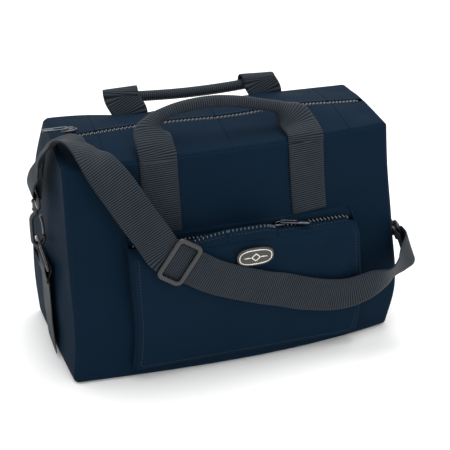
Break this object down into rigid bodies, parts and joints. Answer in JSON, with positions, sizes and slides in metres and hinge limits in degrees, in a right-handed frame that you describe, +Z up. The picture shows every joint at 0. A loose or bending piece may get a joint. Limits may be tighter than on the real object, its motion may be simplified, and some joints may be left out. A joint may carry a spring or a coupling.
{
  "type": "soft flight bag",
  "caption": "Box-shaped soft bag with a zipped top, zipped bellows front pocket, twin webbing carry handles and a clip-on shoulder strap.",
  "frame": {"origin": "middle of the flat underside", "axes": "+X along the bag, -Y towards the pocket, +Z up"},
  "size_m": [0.3993, 0.2081, 0.2851],
  "materials": {
    "nylon": "matte navy plain-weave nylon, lightly padded",
    "webbing": "charcoal ribbed polypropylene webbing",
    "zip_tape": "fine dark zip tape",
    "zip_teeth": "grey moulded coil teeth",
    "plastic": "dark moulded nylon hardware, semi-gloss",
    "gunmetal": "dark plated die-cast slider and pull",
    "badge": "dark moulded oval plate",
    "trim": "pale satin metal trim"
  },
  "bodies": {
    "bag": {"base_panel": "nylon", "front_panel": "nylon", "rear_panel": "nylon", "left_end_panel": "nylon", "right_end_panel": "nylon", "top_left_end": "nylon", "top_right_end": "nylon", "zip_end_left": "zip_teeth", "zip_end_right": "zip_teeth", "pocket_front_panel": "nylon", "pocket_left_gusset": "nylon", "pocket_right_gusset": "nylon", "pocket_bottom_gusset": "nylon", "pocket_top_rear": "nylon", "pocket_top_left": "nylon", "pocket_top_right": "nylon", "pocket_teeth_rear": "zip_teeth", "pocket_teeth_right": "zip_teeth", "badge_plate": "badge", "badge_emblem": "trim", "front_leg_left": "webbing", "front_leg_right": "webbing", "rear_leg_left": "webbing", "rear_leg_right": "webbing", "left_end_webbing": "webbing", "right_end_webbing": "webbing", "left_ring_chape": "webbing", "right_ring_chape": "webbing", "strap_webbing": "webbing", "strap_left_end": "webbing", "strap_right_end": "webbing", "left_hook_eye": "plastic", "right_hook_eye": "plastic"},
    "front_flap": {"top_front_flap": "nylon", "zip_tape_front": "zip_tape", "zip_teeth_front": "zip_teeth"},
    "rear_flap": {"top_rear_flap": "nylon", "zip_tape_rear": "zip_tape", "zip_teeth_rear": "zip_teeth"},
    "slider": {"zip_slider": "gunmetal"},
    "pull": {"zip_pull": "gunmetal"},
    "mouth_flap": {"pocket_mouth_flap": "nylon", "pocket_teeth_mouth": "zip_teeth"},
    "pocket_slider": {"pocket_slider": "gunmetal"},
    "pocket_pull": {"pocket_pull": "gunmetal"},
    "front_handle": {"front_riser_left": "webbing", "front_riser_right": "webbing", "front_grip": "webbing"},
    "rear_handle": {"rear_riser_left": "webbing", "rear_riser_right": "webbing", "rear_grip": "webbing"},
    "left_ring": {"left_ring": "plastic"},
    "left_hook": {"left_hook": "plastic"},
    "left_gate": {"left_gate": "plastic"},
    "right_ring": {"right_ring": "plastic"},
    "right_hook": {"right_hook": "plastic"},
    "right_gate": {"right_gate": "plastic"},
    "adjuster": {"strap_adjuster": "plastic"}
  },
  "joints": [
    {"name": "front_flap_fold", "type": "hinge", "parent": "bag", "child": "front_flap", "pos_m": [0, -0.0718, 0.241], "axis": [1, 0, 0], "range_deg": [-70, 0]},
    {"name": "rear_flap_fold", "type": "hinge", "parent": "bag", "child": "rear_flap", "pos_m": [0, 0.0718, 0.241], "axis": [1, 0, 0], "range_deg": [0, 70]},
    {"name": "zip_slide", "type": "slide", "parent": "bag", "child": "slider", "axis": [1, 0, 0], "range_m": [0, 0.304]},
    {"name": "zip_pull_swing", "type": "hinge", "parent": "slider", "child": "pull", "pos_m": [-0.155, 0, 0.25256], "axis": [0, 1, 0], "range_deg": [0, 150]},
    {"name": "mouth_flap_fold", "type": "hinge", "parent": "bag", "child": "mouth_flap", "pos_m": [0, -0.105, 0.1504], "axis": [1, 0, 0], "range_deg": [-80, 0]},
    {"name": "pocket_zip_slide", "type": "slide", "parent": "bag", "child": "pocket_slider", "axis": [1, 0, 0], "range_m": [-0.152, 0.07]},
    {"name": "pocket_pull_swing", "type": "hinge", "parent": "pocket_slider", "child": "pocket_pull", "pos_m": [0.047, -0.0846, 0.1563], "axis": [-0.3697, -0.9292, 0], "range_deg": [0, 105]},
    {"name": "front_handle_swing", "type": "hinge", "parent": "bag", "child": "front_handle", "pos_m": [0, -0.0773, 0.2405], "axis": [1, 0, 0], "range_deg": [-15, 100]},
    {"name": "rear_handle_swing", "type": "hinge", "parent": "bag", "child": "rear_handle", "pos_m": [0, 0.0773, 0.2405], "axis": [1, 0, 0], "range_deg": [-85, 25]},
    {"name": "left_ring_swing", "type": "hinge", "parent": "bag", "child": "left_ring", "pos_m": [-0.188, 0, 0.108], "axis": [0, 1, 0], "range_deg": [-2, 2]},
    {"name": "left_hook_swivel", "type": "hinge", "parent": "left_ring", "child": "left_hook", "pos_m": [-0.19199, 0, 0.13245], "axis": [0, 0, 1], "range_deg": [-20, 20]},
    {"name": "left_gate_snap", "type": "hinge", "parent": "left_hook", "child": "left_gate", "pos_m": [-0.18809, 0, 0.15985], "axis": [0, 1, 0], "range_deg": [0, 10], "stiffness_Nm_per_rad": 0.02, "springref_deg": -17.19},
    {"name": "right_ring_swing", "type": "hinge", "parent": "bag", "child": "right_ring", "pos_m": [0.188, 0, 0.108], "axis": [0, 1, 0], "range_deg": [-4, 4]},
    {"name": "right_hook_swivel", "type": "hinge", "parent": "right_ring", "child": "right_hook", "pos_m": [0.19053, -0.0314, 0.11495], "axis": [-0.0514, -0.9968, -0.0617], "range_deg": [-12, 12]},
    {"name": "right_gate_snap", "type": "hinge", "parent": "right_hook", "child": "right_gate", "pos_m": [0.19279, -0.05882, 0.11193], "axis": [-0.3391, 0.0755, -0.9377], "range_deg": [-10, 0], "stiffness_Nm_per_rad": 0.02, "springref_deg": 17.19},
    {"name": "adjuster_slide", "type": "slide", "parent": "bag", "child": "adjuster", "axis": [0.8291, 0, -0.5591], "range_m": [-0.003, 0.03]}
  ]
}
